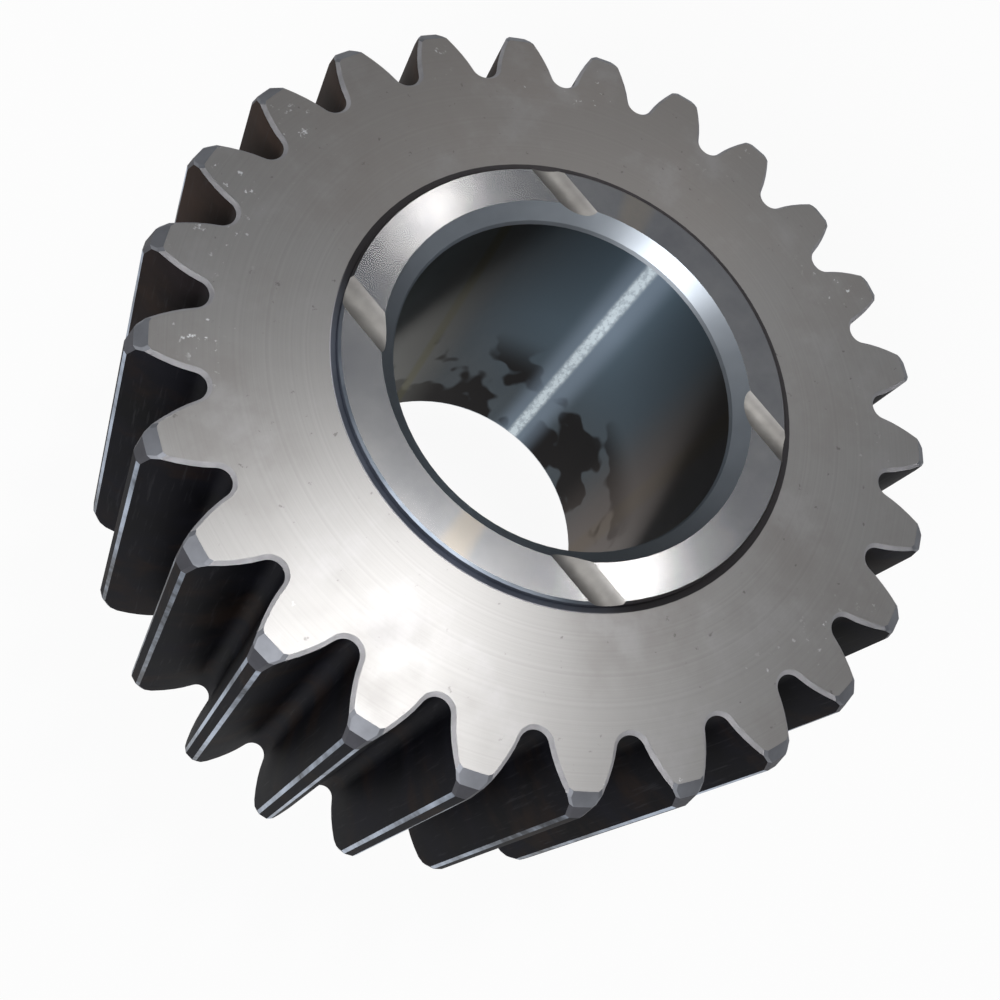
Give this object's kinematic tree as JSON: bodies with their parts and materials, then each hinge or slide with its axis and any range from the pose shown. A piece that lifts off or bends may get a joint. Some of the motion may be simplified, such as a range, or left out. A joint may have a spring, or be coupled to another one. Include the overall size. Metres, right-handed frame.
{
  "type": "spur gear",
  "caption": "Heavy straight-toothed steel gear with a plain bore, chamfered tooth ends and a raised thrust boss with oil grooves on each face.",
  "frame": {"origin": "centre of the bore, halfway through the face width", "axes": "+Z along the gear's axis, up through the face that shows; the middle of one tooth lies on +X"},
  "size_m": [0.2811, 0.2816, 0.162],
  "materials": {
    "gear_steel": "turned and ground steel, lightly worn"
  },
  "bodies": {
    "root": {"gear": "gear_steel"}
  },
  "joints": []
}
